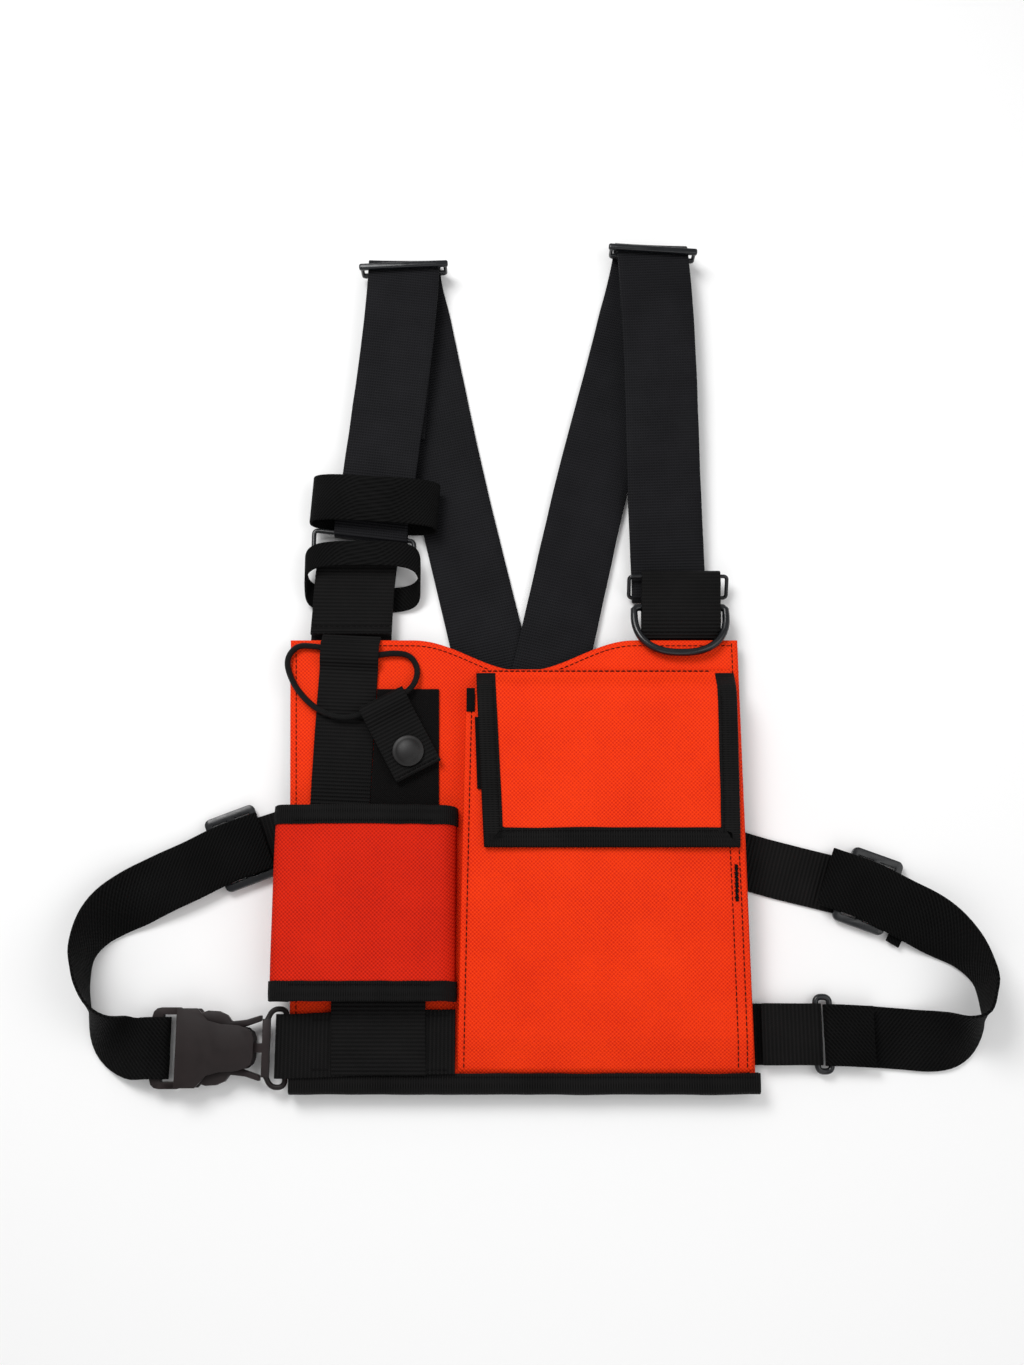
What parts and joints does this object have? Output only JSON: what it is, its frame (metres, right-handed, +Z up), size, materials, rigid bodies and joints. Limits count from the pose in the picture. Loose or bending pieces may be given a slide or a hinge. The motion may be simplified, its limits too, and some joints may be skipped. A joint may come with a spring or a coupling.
{
  "type": "radio chest harness",
  "caption": "Chest harness with a padded front panel, flap pocket, radio sleeve, crossing shoulder straps and elastic side straps with a side-release buckle.",
  "frame": {"origin": "centre of the whole harness on the surface that it lies on", "axes": "+X across the chest towards the D-ring side, +Y from the panel towards the shoulder straps, +Z up, out of the panel front"},
  "size_m": [0.4378, 0.4454, 0.0292],
  "materials": {
    "pocket_cloth": "coated plain weave",
    "band_cloth": "coated plain weave",
    "lining_cloth": "plain weave",
    "foam": "closed-cell foam",
    "edge_tape": "ribbed tape",
    "hook_loop": "brushed",
    "thread": "thread",
    "shoulder_webbing": "ribbed",
    "link_webbing": "ribbed",
    "yoke_leather": "grained",
    "elastic": "fine ribs",
    "cord": "braided",
    "gloss_nylon": "satin gloss",
    "buckle_acetal": "fine grain",
    "snap_enamel": "enamelled metal"
  },
  "bodies": {
    "root": {"front_panel": "pocket_cloth", "pocket_shell": "pocket_cloth", "radio_band": "band_cloth", "back_lining": "lining_cloth", "foam_pad": "foam", "bottom_binding": "edge_tape", "band_top_binding": "edge_tape", "band_bottom_binding": "edge_tape", "pocket_loop_strip": "hook_loop", "loop_patch": "hook_loop", "pocket_bartack": "thread", "left_shoulder_strap": "shoulder_webbing", "right_shoulder_strap": "shoulder_webbing", "left_link_web": "link_webbing", "right_tab": "link_webbing", "radio_back_web": "link_webbing", "sling_web": "link_webbing", "lower_left_web": "link_webbing", "lower_right_web": "link_webbing", "left_side_web": "link_webbing", "right_side_web": "link_webbing", "tab_back": "link_webbing", "back_yoke": "yoke_leather", "left_elastic": "elastic", "right_elastic": "elastic", "right_elastic_tail": "elastic", "shock_cord": "cord", "left_link_ring": "gloss_nylon", "right_link_ring": "gloss_nylon", "right_ring": "gloss_nylon", "buckle_male": "buckle_acetal"},
    "pocket_flap": {"pocket_flap": "pocket_cloth", "flap_binding": "edge_tape", "flap_hook_strip": "hook_loop"},
    "d_ring": {"d_ring": "gloss_nylon"},
    "buckle_female": {"buckle_female": "buckle_acetal"},
    "prong_upper": {"prong_upper": "buckle_acetal"},
    "prong_lower": {"prong_lower": "buckle_acetal"},
    "left_adjuster": {"left_shoulder_triglide": "gloss_nylon", "left_return_leg": "shoulder_webbing"},
    "right_adjuster": {"right_shoulder_triglide": "gloss_nylon", "right_return_leg": "shoulder_webbing"},
    "left_side_slide": {"left_side_triglide": "gloss_nylon"},
    "right_side_slide": {"right_side_triglide": "gloss_nylon"},
    "wide_keeper": {"wide_keeper": "elastic"},
    "antenna_loop": {"antenna_loop": "elastic"},
    "tab_front": {"tab_front": "link_webbing", "snap_cap": "snap_enamel"}
  },
  "joints": [
    {"name": "pocket_flap_hinge", "type": "hinge", "parent": "root", "child": "pocket_flap", "pos_m": [0.03687, -0.02077, 0.0114], "axis": [-1, 0, 0], "range_deg": [0, 100]},
    {"name": "d_ring_swing", "type": "hinge", "parent": "root", "child": "d_ring", "pos_m": [0.07527, 0.01673, 0.0094], "axis": [-1, 0, 0], "range_deg": [0, 145]},
    {"name": "buckle_release", "type": "slide", "parent": "root", "child": "buckle_female", "axis": [-1, 0, 0], "range_m": [0, 0.045], "deforming": ["left_elastic", "prong_upper", "prong_lower"]},
    {"name": "prong_upper_squeeze", "type": "hinge", "parent": "root", "child": "prong_upper", "pos_m": [-0.12873, -0.19007, 0.007], "axis": [0, 0, 1], "range_deg": [0, 7], "stiffness_Nm_per_rad": 0.02},
    {"name": "prong_lower_squeeze", "type": "hinge", "parent": "root", "child": "prong_lower", "pos_m": [-0.12873, -0.21247, 0.007], "axis": [0, 0, 1], "range_deg": [-7, 0], "stiffness_Nm_per_rad": 0.02},
    {"name": "left_adjuster_slide", "type": "slide", "parent": "root", "child": "left_adjuster", "axis": [-0.0945, -0.9955, 0], "range_m": [0, 0.035]},
    {"name": "right_adjuster_slide", "type": "slide", "parent": "root", "child": "right_adjuster", "axis": [0.0258, -0.9997, 0], "range_m": [0, 0.035]},
    {"name": "left_side_adjust", "type": "slide", "parent": "root", "child": "left_side_slide", "axis": [-0.9336, -0.3584, 0], "range_m": [-0.006, 0.01]},
    {"name": "right_side_adjust", "type": "slide", "parent": "root", "child": "right_side_slide", "axis": [0.9397, -0.342, 0], "range_m": [-0.012, 0]},
    {"name": "wide_keeper_slide", "type": "slide", "parent": "root", "child": "wide_keeper", "axis": [0.1149, 0.9934, 0], "range_m": [0, 0.06]},
    {"name": "antenna_loop_slide", "type": "slide", "parent": "root", "child": "antenna_loop", "axis": [0, -1, 0], "range_m": [-0.004, 0.01]},
    {"name": "snap_tab_open", "type": "hinge", "parent": "root", "child": "tab_front", "pos_m": [-0.07235, -0.03812, 0.0176], "axis": [-0.8829, -0.4695, 0], "range_deg": [0, 80]}
  ],
  "couplings": [
    {"joint": "prong_lower_squeeze", "follows": "prong_upper_squeeze", "ratio": -1}
  ]
}
